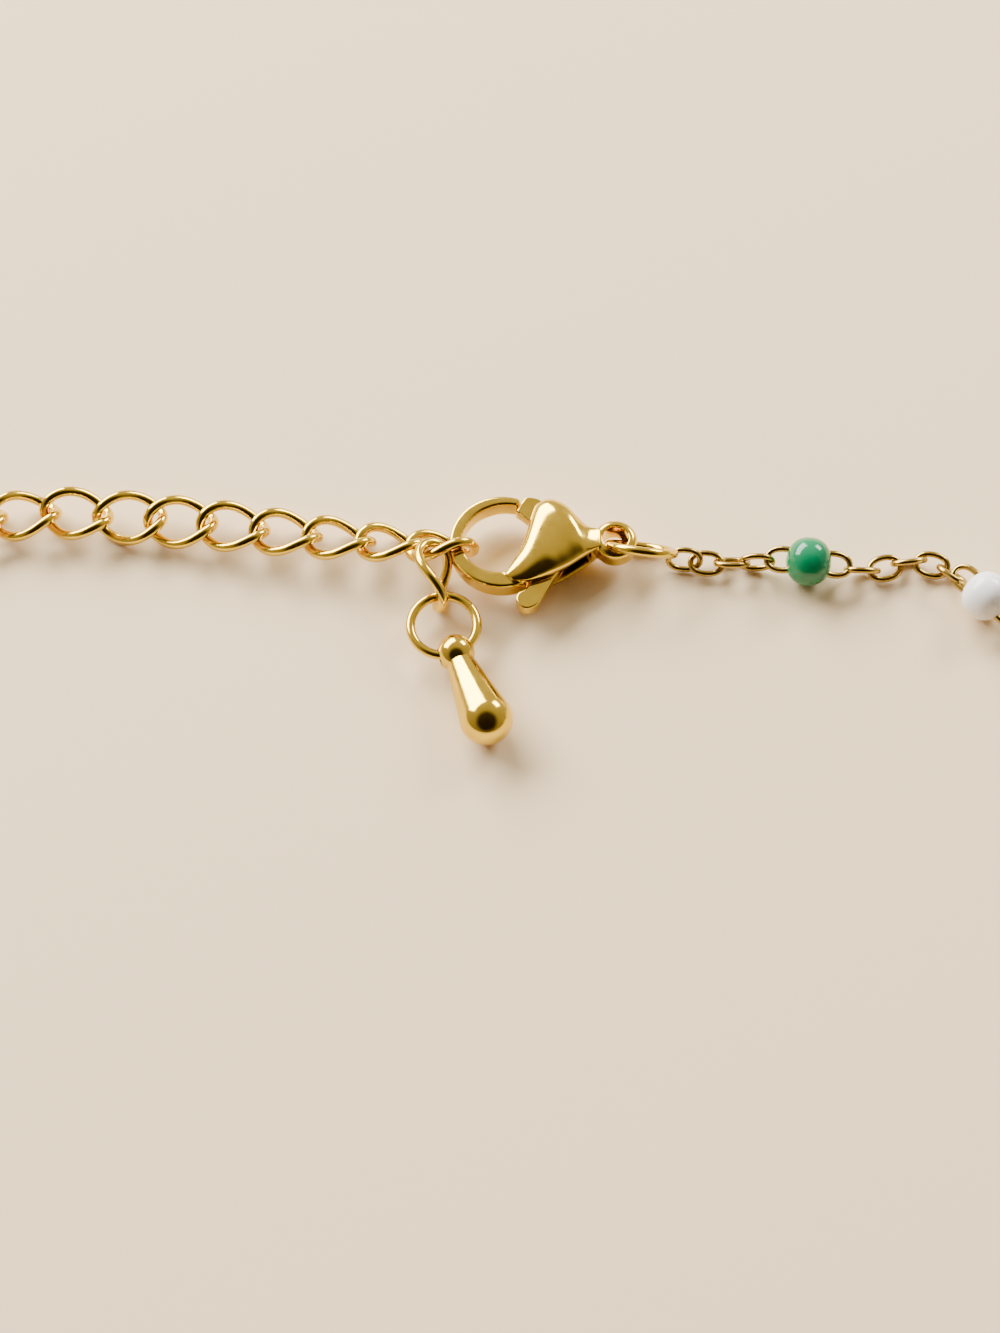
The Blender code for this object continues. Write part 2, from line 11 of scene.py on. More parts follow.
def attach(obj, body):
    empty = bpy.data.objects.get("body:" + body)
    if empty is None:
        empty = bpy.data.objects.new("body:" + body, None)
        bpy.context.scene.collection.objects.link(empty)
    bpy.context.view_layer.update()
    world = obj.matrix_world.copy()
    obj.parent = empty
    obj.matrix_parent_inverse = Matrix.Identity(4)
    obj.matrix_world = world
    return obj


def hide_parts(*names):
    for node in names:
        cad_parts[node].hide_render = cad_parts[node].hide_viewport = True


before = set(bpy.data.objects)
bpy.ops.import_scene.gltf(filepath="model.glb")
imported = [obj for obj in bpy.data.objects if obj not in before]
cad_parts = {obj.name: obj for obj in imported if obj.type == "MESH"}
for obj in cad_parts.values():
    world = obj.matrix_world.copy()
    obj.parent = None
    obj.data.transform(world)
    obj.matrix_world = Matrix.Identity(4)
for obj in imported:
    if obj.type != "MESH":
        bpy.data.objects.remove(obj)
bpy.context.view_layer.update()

MM = 0.001
BODY = "necklace"

# The part's own sizes, in millimetres, and poses, in degrees. The route is in metres.
FASTENING = (2.6, 68.8)
SURFACE_GAP = 0.02
CONTACT_GAP = 0.05
CHAIN_ROUTE = (
    (0.0090, -0.0012), (0.0121, -0.00147), (0.0150, -0.00152), (0.01769, -0.00182), (0.0205, -0.0020),
    (0.0231, -0.0015), (0.0253, -0.0023), (0.0272, -0.0043), (0.0315, -0.0074), (0.0410, -0.0135),
    (0.0525, -0.0255), (0.0615, -0.0420), (0.0663, -0.0620), (0.0652, -0.0840), (0.0580, -0.1045),
    (0.0440, -0.1225), (0.0240, -0.1348), (-0.0015, -0.1393), (-0.0260, -0.1356), (-0.0475, -0.1235),
    (-0.0620, -0.1055), (-0.0700, -0.0845), (-0.0715, -0.0625), (-0.0665, -0.0410), (-0.0560, -0.0225),
    (-0.0435, -0.0086), (-0.0340, -0.0016), (-0.0260, 0.0011), (-0.0195, 0.0011), (-0.0136, 0.0005),
    (-0.0077, -0.00026), (-0.00193, -0.00083),
)
LINK_LENGTH = 4.12
LINK_WIDTH = 3.0
LINK_WIRE = 0.54
LINK_TWIST = 45.0
LINK_LAY = (
    (-32.0, 0.0), (-20.0, 0.0), (-10.0, 0.0), (2.0, -2.0), (14.0, 4.0), (26.0, 4.0), (12.0, -6.0),
    (0.0, 0.0), (0.0, 2.0), (5.0, 0.0), (-4.0, 0.0), (0.0, -2.0), (4.0, 0.0), (-4.0, 0.0),
    (0.0, 0.0),
)
RING_DIAMETER = 4.0
RING_WIRE = 0.5
RING_CUT = 0.08
BEAD_DIAMETER = 2.6
BEAD_LENGTH = 2.4
FIRST_BEAD = 6.9
SECOND_BEAD = 10.2
BEAD_PITCH = 11.2
DROP_LENGTH = 6.65
DROP_HEAD = 2.0
DROP_BALL = 2.8
DROP_HOLE = 0.95
DROP_HEADING = -68.0
CLASP_LENGTH = 9.93
CHEEK_HEIGHT = 1.35
CHEEK_RIM = 0.645
HOOK_RADIUS = 2.8
HOOK_HEIGHT = 1.15
HOOK_EDGE = 0.14
EYE_HOLE = 1.4
SLOT_HEIGHT = 0.95
LEVER_THICKNESS = 0.75
TIP_GAP = 0.07
HOOK_CENTRE = (0.1208, -0.0876)
EYE_CENTRE = (0.7281, -0.0715)
PIVOT = (0.423, 0.035)
HOOK_WIDTHS = (0.048, 0.062, 0.066, 0.066, 0.076, 0.094, 0.100)
LEVER_GATE = ((0.228, 0.172), (0.247, 0.195), (0.290, 0.196), (0.337, 0.173), (0.395, 0.100))
LEVER_INNER = ((0.285, -0.290), (0.312, -0.200), (0.322, -0.100), (0.306, -0.020), (0.270, 0.040),
               (0.230, 0.082), (0.196, 0.108))
HUB_RADIUS = 0.5
SLOT_OUTLINE = (
    (0.235, -0.420), (0.247, -0.292), (0.252, -0.222), (0.222, -0.131), (0.120, -0.100),
    (0.120, 0.240), (0.345, 0.240), (0.395, 0.128), (0.455, 0.085), (0.534, 0.010),
    (0.569, -0.060), (0.579, -0.121), (0.640, -0.260), (0.500, -0.420),
)
HOOK_PLAY = 0.39
HOOKED_POSE = (-45.0, 9.0, -7.0)
END_POSE = (-66.0, -16.0, -81.0)
END_OFFSET = (-0.064, -0.469, 0.077)
CLASP_RING_ROLL = -55.0
CLASP_RING_HEADING = -9.0
CLASP_RING_SHIFT = -0.33
DROP_RING_OFFSET = (0.106, -0.689, -0.090)
DROP_RING_ROLL = 1.5
DROP_RING_CUT_ANGLE = 38.0
END_RING_ROLL = -15.0
LINK_SEGMENTS = 14
RING_SEGMENTS = 20
HOOK_ROOT = 298.0
HUB_ANGLES = (75.0, 45.0, 15.0, -15.0)
GATE_STEP = 3.0
FLARE_MEETS_BALL = -0.22

# Forms that depart a little from the part's, to come closer to the photograph
CHEEK_ROUNDING = 2.2
EYE_DIAMETER = 2.36
EYE_HEIGHT = 1.3
EYE_ROUNDING = 0.38
DROP_NECK = 1.5
LEVER_EDGE = 0.09
CHEEK_SECTIONS = (
    (0.136, -0.297, 0.176, -0.337, 0.10),
    (0.176, -0.222, 0.252, -0.342, 0.45),
    (0.222, -0.131, 0.322, -0.322, 0.80),
    (0.252, -0.030, 0.393, -0.292, 1.00),
    (0.277, 0.060, 0.453, -0.260, 1.00),
    (0.307, 0.131, 0.504, -0.227, 1.00),
    (0.373, 0.163, 0.539, -0.201, 1.00),
    (0.453, 0.131, 0.564, -0.184, 0.88),
    (0.524, 0.055, 0.584, -0.169, 0.60),
    (0.579, -0.002, 0.604, -0.155, 0.34),
    (0.640, -0.015, 0.640, -0.128, 0.05),
)
LEVER_THUMB = (
    (0.478, -0.050), (0.473, -0.141), (0.433, -0.242), (0.386, -0.322), (0.335, -0.418),
    (0.307, -0.465), (0.260, -0.490), (0.217, -0.478), (0.196, -0.440), (0.202, -0.398),
    (0.250, -0.362),
)

# Fineness of the dressed forms
FINE_LINK_SEGMENTS = 56
FINE_RING_SEGMENTS = 96
LINK_SIDES = 16
RING_SIDES = 18
CABLE_SEGMENTS = 24
CABLE_SIDES = 8
ROUND_SIDES = 72
HOLE_SIDES = 40
BEAD_SIDES = 32
HOOK_STEPS = 96
CORNER_STEP = 15
VOXEL = 0.045
SMOOTH_FACTOR = 0.5
SMOOTH_ROUNDS = 13
SHARP_EDGE = 50.0
DROP_SHARP_EDGE = 35.0
LEAST_RADIUS = 0.004

# Rounding of a bead, and the radius of its flattened ends
BEAD_FLATNESS = 2.3
BEAD_FULLNESS = 2.1
BEAD_END_RADIUS = 0.14

# Camera, plain floor, and colours as light and dark pairs
LENS = 62.25
SENSOR = 36.0
CAMERA_PLACE = (0.00368, 0.00537, 0.1076)
CAMERA_TILT = 27.5
FLOOR_REACH = 0.9
FLOOR_COLOUR = (0.94, 0.735, 0.465, 1.0)
GOLD = ((0.82, 0.585, 0.075, 1.0), (0.71, 0.485, 0.055, 1.0))
GOLD_ROUGHNESS = (0.10, 0.18)
CHAIN_GOLD = ((0.58, 0.405, 0.10, 1.0), (0.40, 0.26, 0.055, 1.0))
CHAIN_ROUGHNESS = (0.14, 0.26)
GREEN = ((0.002, 0.24, 0.095, 1.0), (0.001, 0.17, 0.065, 1.0))
WHITE = ((0.96, 0.93, 0.95, 1.0), (0.90, 0.87, 0.90, 1.0))

# Room that the gold reflects, with the direction, colour and edges of its dark part
SKY_NEAR = (0.24, 0.18, 0.12, 1.0)
SKY_FAR = (0.86, 0.74, 0.56, 1.0)
SKY_STRENGTH = 1.1
DARK_SIDE = (0.05, -0.64, 0.77)
DARK_COLOUR = (0.07, 0.06, 0.05, 1.0)
DARK_EDGES = (0.62, 0.82)

# Lamps as place, size and watts, aimed at the clasp
LIGHT_TARGET = (0.004, 0.068, 0.0)
LIGHT_COLOUR = (1.0, 0.985, 0.95)
KEY_LIGHT = ((-0.30, 0.44, 0.29), (0.60, 0.30), 13.0)
FAR_LIGHT = ((0.34, 0.46, 0.30), (0.22, 0.18), 3.0)

# Fine cable links, which stand in the tube's place
CABLE_LENGTH = 2.05
CABLE_WIDTH = 1.5
CABLE_WIRE = 0.34
CABLE_ROUNDNESS = 0.9
CABLE_PITCH = 1.41
CABLE_REST = 0.62
CABLE_CLIMB = 0.16
CLIMB_LINKS = 2.0
CABLE_ROLL = 45.0
LAST_REACH = 0.9
BEAD_LOOP = 1.375
LOOP_SINK = 0.08
LOOP_ROLL = 24.0
LOOP_DIP = 8.0

# Fine links that the photograph shows: place from the fastening point, roll, rise and heading
SHOWN_LINKS = (
    (10.95, -1.33, 0.72, 58.0, 0.0, -4.0), (12.15, -1.47, 0.55, 12.0, 0.0, -4.0),
    (13.50, -1.50, 0.66, -46.0, 0.0, 0.0), (14.80, -1.55, 0.80, 86.0, 8.0, -2.0),
    (20.42, -2.03, 0.78, -60.0, -8.0, 2.0), (21.70, -1.76, 0.52, 18.0, 0.0, 15.0),
    (22.98, -1.46, 0.68, -62.0, 0.0, 8.0), (24.22, -1.56, 0.52, 22.0, 0.0, -14.0),
    (25.24, -2.30, 0.70, -52.0, 4.0, -42.0),
)


def material(name, base):
    item = bpy.data.materials.new(name)
    item.use_nodes = True
    nodes = item.node_tree.nodes
    shader = nodes["Principled BSDF"]
    shader.inputs["Base Color"].default_value = base
    return item, nodes, item.node_tree.links, shader


def noise(nodes, links, scale, detail):
    coords = nodes.new("ShaderNodeTexCoord")
    texture = nodes.new("ShaderNodeTexNoise")
    texture.inputs["Scale"].default_value = scale
    texture.inputs["Detail"].default_value = detail
    links.new(coords.outputs["Object"], texture.inputs["Vector"])
    return texture


def ramp(nodes, links, source, low, high, start=0.3, end=0.7):
    node = nodes.new("ShaderNodeValToRGB")
    node.color_ramp.elements[0].position = start
    node.color_ramp.elements[1].position = end
    node.color_ramp.elements[0].color = low
    node.color_ramp.elements[1].color = high
    links.new(source, node.inputs["Fac"])
    return node


def gold_material(name, colours, roughness):
    """Polished gold plate with faint tone changes, micro scratches and slightly uneven polish."""
    light, dark = colours
    smooth, dull = roughness
    item, nodes, links, shader = material(name, light)
    shader.inputs["Metallic"].default_value = 1.0
    tone = noise(nodes, links, 900.0, 3.0)
    tones = ramp(nodes, links, tone.outputs["Fac"], dark, light)
    links.new(tones.outputs["Color"], shader.inputs["Base Color"])
    polish = noise(nodes, links, 2600.0, 5.0)
    gloss = ramp(nodes, links, polish.outputs["Fac"], (smooth,) * 3 + (1.0,), (dull,) * 3 + (1.0,))
    links.new(gloss.outputs["Color"], shader.inputs["Roughness"])
    bump = nodes.new("ShaderNodeBump")
    bump.inputs["Strength"].default_value = 0.05
    bump.inputs["Distance"].default_value = 0.00002
    scratches = noise(nodes, links, 1500.0, 8.0)
    links.new(scratches.outputs["Fac"], bump.inputs["Height"])
    links.new(bump.outputs["Normal"], shader.inputs["Normal"])
    return item


def enamel_material(name, colours):
    """Glossy enamel with a soft tone change and a clear coat."""
    light, dark = colours
    item, nodes, links, shader = material(name, light)
    shader.inputs["Roughness"].default_value = 0.14
    shader.inputs["Coat Weight"].default_value = 0.25
    shader.inputs["Coat Roughness"].default_value = 0.04
    shader.inputs["IOR"].default_value = 1.38
    tone = noise(nodes, links, 700.0, 2.0)
    tones = ramp(nodes, links, tone.outputs["Fac"], dark, light)
    links.new(tones.outputs["Color"], shader.inputs["Base Color"])
    bump = nodes.new("ShaderNodeBump")
    bump.inputs["Strength"].default_value = 0.08
    bump.inputs["Distance"].default_value = 0.00004
    waves = noise(nodes, links, 500.0, 2.0)
    links.new(waves.outputs["Fac"], bump.inputs["Height"])
    links.new(bump.outputs["Normal"], shader.inputs["Normal"])
    return item


def smooth_line(points, steps):
    """Samples a smooth line that passes through the points."""
    points = np.array(points, dtype=float)
    before = 2.0 * points[0] - points[1]
    after = 2.0 * points[-1] - points[-2]
    padded = np.vstack([before, points, after])
    line = []
    for index in range(1, len(padded) - 2):
        p0, p1, p2, p3 = padded[index - 1:index + 3]
        for step in range(steps):
            t = step / steps
            line.append(0.5 * (2.0 * p1 + (p2 - p0) * t
                               + (2.0 * p0 - 5.0 * p1 + 4.0 * p2 - p3) * t * t
                               + (3.0 * p1 - p0 - 3.0 * p2 + p3) * t ** 3))
    line.append(points[-1])
    return np.array(line)


def smooth_loop(points, steps):
    """Samples a smooth closed line through the points."""
    points = list(points)
    line = smooth_line([points[-1]] + points + [points[0], points[1]], steps)
    return line[steps:-steps]


def measure_route():
    line = smooth_line(np.array(CHAIN_ROUTE) / MM, 40)
    spans = np.linalg.norm(np.diff(line, axis=0), axis=1)
    return line, np.concatenate([[0.0], np.cumsum(spans)])


def route_at(route, distance):
    line, lengths = route
    place = [np.interp(distance, lengths, line[:, axis]) for axis in range(2)]
    ahead = [np.interp(distance + 0.6, lengths, line[:, axis]) for axis in range(2)]
    behind = [np.interp(distance - 0.6, lengths, line[:, axis]) for axis in range(2)]
    return np.array(place), math.atan2(ahead[1] - behind[1], ahead[0] - behind[0])


def link_line(segments):
    half_length = (LINK_LENGTH - LINK_WIRE) / 2.0
    half_width = (LINK_WIDTH - LINK_WIRE) / 2.0
    angle = 2.0 * np.pi * np.arange(segments) / segments
    turn = -math.radians(LINK_TWIST) * np.cos(angle)
    across = half_width * np.sin(angle)
    return np.stack([half_length * np.cos(angle), across * np.cos(turn), across * np.sin(turn)], axis=1)


def ring_line(segments, start=0.0, sweep=360.0):
    radius = (RING_DIAMETER - RING_WIRE) / 2.0
    count = segments if sweep >= 360.0 else segments + 1
    angle = np.radians(start + sweep * np.arange(count) / segments)
    return np.stack([radius * np.cos(angle), radius * np.sin(angle), 0.0 * angle], axis=1)


def cable_line(segments):
    half_length = (CABLE_LENGTH - CABLE_WIRE) / 2.0
    half_width = (CABLE_WIDTH - CABLE_WIRE) / 2.0
    angle = 2.0 * np.pi * np.arange(segments) / segments
    bow = half_length * np.sign(np.cos(angle)) * np.abs(np.cos(angle)) ** CABLE_ROUNDNESS
    side = half_width * np.sign(np.sin(angle)) * np.abs(np.sin(angle)) ** CABLE_ROUNDNESS
    return np.stack([bow, side, 0.0 * angle], axis=1)


def turn_of(roll, pitch, heading):
    return Euler((math.radians(roll), -math.radians(pitch), math.radians(heading)))


def posed(line, place, turn):
    return line @ np.array(turn.to_matrix()).T + np.array(place)


def fine_points(line):
    ahead = np.roll(line, -1, axis=0)
    shares = np.linspace(0.0, 1.0, 8, endpoint=False)[:, None, None]
    return (line[None] * (1.0 - shares) + ahead[None] * shares).reshape(-1, 3)


def clearance(first, second):
    a = fine_points(first)
    b = fine_points(second)
    return float(np.linalg.norm(a[:, None] - b[None], axis=2).min())


def resting_height(line, wire):
    return SURFACE_GAP + wire / 2.0 - float(line[:, 2].min())


def hang_next(route, distance, previous, previous_wire, line, wire, length, roll, swing):
    """Pose of the next link or ring along the route, as the part lays it."""
    need = (previous_wire + wire) / 2.0 + CONTACT_GAP
    lifts = [share * wire for share in (0.0, 0.2, 0.4, 0.6, 0.8)]
    best = None
    for step in np.arange(length + 0.1, length * 0.7, -0.02):
        centre, heading = route_at(route, distance - step)
        turn = turn_of(roll, 0.0, math.degrees(heading) + swing)
        turned = posed(line, (0.0, 0.0, 0.0), turn)
        height = resting_height(turned, wire)
        for lift in lifts:
            place = np.array([centre[0], centre[1], height + lift])
            gap = clearance(previous, turned + place)
            if best is None or gap > best[0]:
                best = (gap, place, turn, float(step))
            if gap >= need:
                return place, turn, float(step)
    return best[1], best[2], best[3]


def lay_extension(route):
    line = link_line(LINK_SEGMENTS)
    hook_inner = CLASP_LENGTH * HOOK_CENTRE[0] - HOOK_RADIUS + CLASP_LENGTH * HOOK_WIDTHS[2]
    rise = math.radians(HOOKED_POSE[1])
    hooked_x = hook_inner + HOOK_PLAY + LINK_WIRE - LINK_LENGTH / 2.0 * math.cos(rise)
    band_offset = hook_inner - CLASP_LENGTH * HOOK_WIDTHS[2] / 2.0 - hooked_x
    hooked_z = SURFACE_GAP + CHEEK_HEIGHT - band_offset * math.sin(rise)
    end = np.array(CHAIN_ROUTE[-1]) / MM
    distance = route[1][-1] + hooked_x - end[0]
    place = np.array([hooked_x, end[1], hooked_z])
    turn = turn_of(*HOOKED_POSE)
    poses = [(place, turn)]
    previous = posed(line, place, turn)
    length = LINK_LENGTH - 2.0 * LINK_WIRE
    for roll, swing in LINK_LAY:
        place, turn, step = hang_next(route, distance, previous, LINK_WIRE, line, LINK_WIRE, length,
                                      roll, swing)
        distance -= step
        poses.append((place, turn))
        previous = posed(line, place, turn)
    return poses, distance


def tube(line, wire, sides, closed=True):
    """Vertices and faces of a round wire along a line."""
    if closed:
        tangent = np.roll(line, -1, axis=0) - np.roll(line, 1, axis=0)
    else:
        tangent = np.gradient(line, axis=0)
    tangent = tangent / np.linalg.norm(tangent, axis=1)[:, None]
    outward = line - line.mean(axis=0)
    outward = outward - tangent * np.sum(outward * tangent, axis=1)[:, None]
    outward = outward / np.linalg.norm(outward, axis=1)[:, None]
    side = np.cross(tangent, outward)
    angle = 2.0 * np.pi * np.arange(sides) / sides
    offsets = (outward[:, None] * np.cos(angle)[None, :, None]
               + side[:, None] * np.sin(angle)[None, :, None])
    verts = (line[:, None] + offsets * wire / 2.0).reshape(-1, 3)
    count = len(line)
    faces = []
    for index in range(count if closed else count - 1):
        after = (index + 1) % count
        for step in range(sides):
            ahead = (step + 1) % sides
            faces.append((index * sides + step, index * sides + ahead,
                          after * sides + ahead, after * sides + step))
    if not closed:
        faces.append(tuple(reversed(range(sides))))
        faces.append(tuple((count - 1) * sides + step for step in range(sides)))
    return verts, faces


def new_object(name, data):
    item = bpy.data.objects.new(name, data)
    bpy.context.scene.collection.objects.link(item)
    return item


def face_outward(mesh):
    solid = bmesh.new()
    solid.from_mesh(mesh)
    bmesh.ops.recalc_face_normals(solid, faces=solid.faces)
    solid.to_mesh(mesh)
    solid.free()


def piece(name, verts, faces, look, nodes, body=BODY):
    """Makes a visible piece from geometry in millimetres measured from the fastening point."""
    mesh = bpy.data.meshes.new(name)
    places = (np.array(verts) + np.array([FASTENING[0], FASTENING[1], 0.0])) * MM
    mesh.from_pydata([tuple(place) for place in places], [], [tuple(face) for face in faces])
    mesh.validate()
    face_outward(mesh)
    mesh.shade_smooth()
    mesh.materials.append(look)
    item = new_object(name, mesh)
    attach(item, body)
    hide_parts(*nodes)
    return item


def join(parts):
    """Joins a list of vertex and face pairs."""
    verts = []
    faces = []
    for some_verts, some_faces in parts:
        base = len(verts)
        verts.extend(some_verts)
        faces.extend([tuple(base + index for index in face) for face in some_faces])
    return verts, faces


def round_angles(sides):
    return np.linspace(0.0, 2.0 * math.pi, sides, endpoint=False)


def rounded_corner(rounding, height):
    """Inset and height of points round an upper edge, from its top to its side."""
    corners = [math.radians(degrees) for degrees in range(90, -1, -CORNER_STEP)]
    return [(rounding * (1.0 - math.cos(corner)), height - rounding * (1.0 - math.sin(corner)))
            for corner in corners]


def grid(rings):
    """Vertices and faces of a closed skin over rings with the same number of points."""
    count = len(rings[0])
    verts = [point for ring in rings for point in ring]
    faces = []
    for row in range(len(rings) - 1):
        for index in range(count):
            after = (index + 1) % count
            faces.append((row * count + index, row * count + after,
                          (row + 1) * count + after, (row + 1) * count + index))
    faces.append(tuple(reversed(range(count))))
    faces.append(tuple((len(rings) - 1) * count + index for index in range(count)))
    return verts, faces


def working_object(name, verts, faces):
    """An object in millimetre units, to be cut and joined before it becomes a piece."""
    mesh = bpy.data.meshes.new(name)
    mesh.from_pydata([tuple(point) for point in verts], [], faces)
    face_outward(mesh)
    return new_object(name, mesh)


def cylinder(name, radius, height, sides, centre, axis="Z"):
    solid = bmesh.new()
    bmesh.ops.create_cone(solid, cap_ends=True, segments=sides,
                          radius1=radius, radius2=radius, depth=height)
    if axis == "Y":
        quarter = Matrix.Rotation(math.pi / 2.0, 3, "X")
        bmesh.ops.rotate(solid, verts=solid.verts, cent=(0.0, 0.0, 0.0), matrix=quarter)
    bmesh.ops.translate(solid, verts=solid.verts, vec=centre)
    mesh = bpy.data.meshes.new(name)
    solid.to_mesh(mesh)
    solid.free()
    return new_object(name, mesh)


def finished(item, others):
    """Evaluated vertices and faces of a working object, which is removed with its helpers."""
    graph = bpy.context.evaluated_depsgraph_get()
    mesh = bpy.data.meshes.new_from_object(item.evaluated_get(graph))
    verts = [tuple(vertex.co) for vertex in mesh.vertices]
    faces = [tuple(face.vertices) for face in mesh.polygons]
    bpy.data.meshes.remove(mesh)
    for helper in [item] + others:
        bpy.data.objects.remove(helper, do_unlink=True)
    return verts, faces


def cut_with(target, other, operation):
    modifier = target.modifiers.new(other.name, "BOOLEAN")
    modifier.operation = operation
    modifier.object = other
    modifier.solver = "EXACT"


def clasp_plan(shares):
    return [(x * CLASP_LENGTH, y * CLASP_LENGTH) for x, y in shares]


def cheek_rings():
    sweep = np.linspace(-1.0, 1.0, 41)
    across = np.sign(sweep) * (1.0 - (1.0 - np.abs(sweep)) ** 1.5)
    rings = []
    for upper_x, upper_y, lower_x, lower_y, share in smooth_line(CHEEK_SECTIONS, 7):
        upper = np.array([upper_x, upper_y]) * CLASP_LENGTH
        lower = np.array([lower_x, lower_y]) * CLASP_LENGTH
        top = []
        for part in across:
            centre = (upper + lower) / 2.0 + (lower - upper) / 2.0 * part
            fall = abs(part) ** CHEEK_ROUNDING
            height = CHEEK_RIM + (CHEEK_HEIGHT - CHEEK_RIM) * share * math.sqrt(max(0.0, 1.0 - fall))
            top.append((centre[0], centre[1], height))
        rings.append(top + [(x, y, -z) for x, y, z in reversed(top)])
    return rings


def circles_meet(first, first_radius, second, second_radius):
    gap = first - second
    distance = np.linalg.norm(gap)
    along = (second_radius ** 2 - first_radius ** 2 + distance ** 2) / (2.0 * distance)
    rise = math.sqrt(second_radius ** 2 - along ** 2)
    unit = gap / distance
    return second + unit * along + np.array([unit[1], -unit[0]]) * rise


def gate_radius():
    corner = np.array(LEVER_INNER[-1]) - np.array(PIVOT)
    return float(np.linalg.norm(corner)) * CLASP_LENGTH


def hook_rings():
    """Rounded sections of the hook's band from its tip to its root."""
    centre = np.array(HOOK_CENTRE) * CLASP_LENGTH
    pivot = np.array(PIVOT) * CLASP_LENGTH
    widths = np.array(HOOK_WIDTHS) * CLASP_LENGTH
    half = HOOK_HEIGHT / 2.0
    reach = gate_radius() + TIP_GAP
    tip = []
    for radius in (HOOK_RADIUS, HOOK_RADIUS - widths[0]):
        meet = circles_meet(centre, radius, pivot, reach) - centre
        tip.append(math.atan2(meet[1], meet[0]))
    root = math.radians(HOOK_ROOT)
    edge = rounded_corner(HOOK_EDGE, half)
    corners = [(0, *point) for point in reversed(edge)] + [(1, *point) for point in edge]
    rings = []
    for step in range(HOOK_STEPS + 1):
        share = step / HOOK_STEPS
        width = float(np.interp(share, np.linspace(0.0, 1.0, len(widths)), widths))
        section = []
        for side, inset, height in corners:
            angle = tip[side] + (root - tip[side]) * share
            radius = HOOK_RADIUS - inset if side == 0 else HOOK_RADIUS - width + inset
            section.append((centre[0] + radius * math.cos(angle),
                            centre[1] + radius * math.sin(angle), height))
        rings.append(section + [(x, y, -z) for x, y, z in reversed(section)])
    return rings


def make_clasp(gold):
    middle = CHEEK_HEIGHT + SURFACE_GAP
    eye = np.array(EYE_CENTRE) * CLASP_LENGTH
    body = working_object("cheeks", *grid(cheek_rings()))
    outline = clasp_plan(SLOT_OUTLINE)
    slot = working_object("slot", *grid([[(x, y, -SLOT_HEIGHT / 2.0) for x, y in outline],
                                         [(x, y, SLOT_HEIGHT / 2.0) for x, y in outline]]))
    cut_with(body, slot, "DIFFERENCE")
    hook = working_object("band", *grid(hook_rings()))
    cut_with(body, hook, "UNION")
    profile = [(EYE_DIAMETER / 2.0 - inset, height)
               for inset, height in rounded_corner(EYE_ROUNDING, EYE_HEIGHT / 2.0)]
    profile += [(radius, -height) for radius, height in reversed(profile)]
    rings = []
    for radius, height in profile:
        rings.append([(eye[0] + radius * math.cos(a), eye[1] + radius * math.sin(a), height)
                      for a in round_angles(ROUND_SIDES)])
    disc = working_object("eye", *grid(rings))
    cut_with(body, disc, "UNION")
    hole = cylinder("eye_hole", EYE_HOLE / 2.0, 3.0, ROUND_SIDES, (eye[0], eye[1], 0.0))
    cut_with(body, hole, "DIFFERENCE")
    remesh = body.modifiers.new("even", "REMESH")
    remesh.mode = "VOXEL"
    remesh.voxel_size = VOXEL
    soften = body.modifiers.new("soften", "SMOOTH")
    soften.factor = SMOOTH_FACTOR
    soften.iterations = SMOOTH_ROUNDS
    verts, faces = finished(body, [hook, disc, hole, slot])
    verts = np.array(verts) + [0.0, 0.0, middle]
    piece("polished_clasp_body", verts, faces, gold, ["clasp_body"])


def make_lever(gold):
    pivot = np.array(PIVOT) * CLASP_LENGTH
    outline = clasp_plan(LEVER_GATE)
    for degrees in HUB_ANGLES:
        angle = math.radians(degrees)
        outline.append((pivot[0] + HUB_RADIUS * math.cos(angle),
                        pivot[1] + HUB_RADIUS * math.sin(angle)))
    outline += clasp_plan(LEVER_THUMB) + clasp_plan(LEVER_INNER)
    reach = gate_radius()
    first = math.atan2(LEVER_INNER[-1][1] - PIVOT[1], LEVER_INNER[-1][0] - PIVOT[0])
    for step in (1, 2, 3):
        angle = first - math.radians(GATE_STEP) * step
        outline.append((pivot[0] + reach * math.cos(angle), pivot[1] + reach * math.sin(angle)))
    curve = bpy.data.curves.new("lever", "CURVE")
    curve.dimensions = "2D"
    curve.fill_mode = "BOTH"
    curve.extrude = LEVER_THICKNESS / 2.0 - LEVER_EDGE
    curve.bevel_depth = LEVER_EDGE
    curve.offset = -LEVER_EDGE
    curve.bevel_resolution = 3
    loop = smooth_loop(outline, 5)
    spline = curve.splines.new("POLY")
    spline.points.add(len(loop) - 1)
    for point, position in zip(spline.points, loop):
        point.co = (position[0], position[1], 0.0, 1.0)
    spline.use_cyclic_u = True
    item = new_object("lever", curve)
    bpy.context.view_layer.update()
    verts, faces = finished(item, [])
    verts = np.array(verts) + [0.0, 0.0, CHEEK_HEIGHT + SURFACE_GAP]
    lever = piece("polished_clasp_lever", verts, faces, gold, ["clasp_lever"], "lever")
    lever.data.set_sharp_from_angle(angle=math.radians(SHARP_EDGE))


def drop_profile():
    """Turned outline of the teardrop end from its ball head to its ball end."""
    head = DROP_HEAD / 2.0
    ball = DROP_BALL / 2.0
    centre = DROP_LENGTH - head - ball
    neck = math.asin(DROP_NECK / DROP_HEAD)
    profile = []
    for angle in np.linspace(math.pi, neck, 24):
        profile.append((head * math.cos(angle), head * math.sin(angle)))
    first = math.acos(FLARE_MEETS_BALL)
    start = np.array(profile[-1])
    finish = np.array([centre + ball * math.cos(first), ball * math.sin(first)])
    for share in np.linspace(0.08, 0.92, 10):
        profile.append(tuple(start + (finish - start) * share))
    for angle in np.linspace(first, 0.0, 30):
        profile.append((centre + ball * math.cos(angle), ball * math.sin(angle)))
    return profile


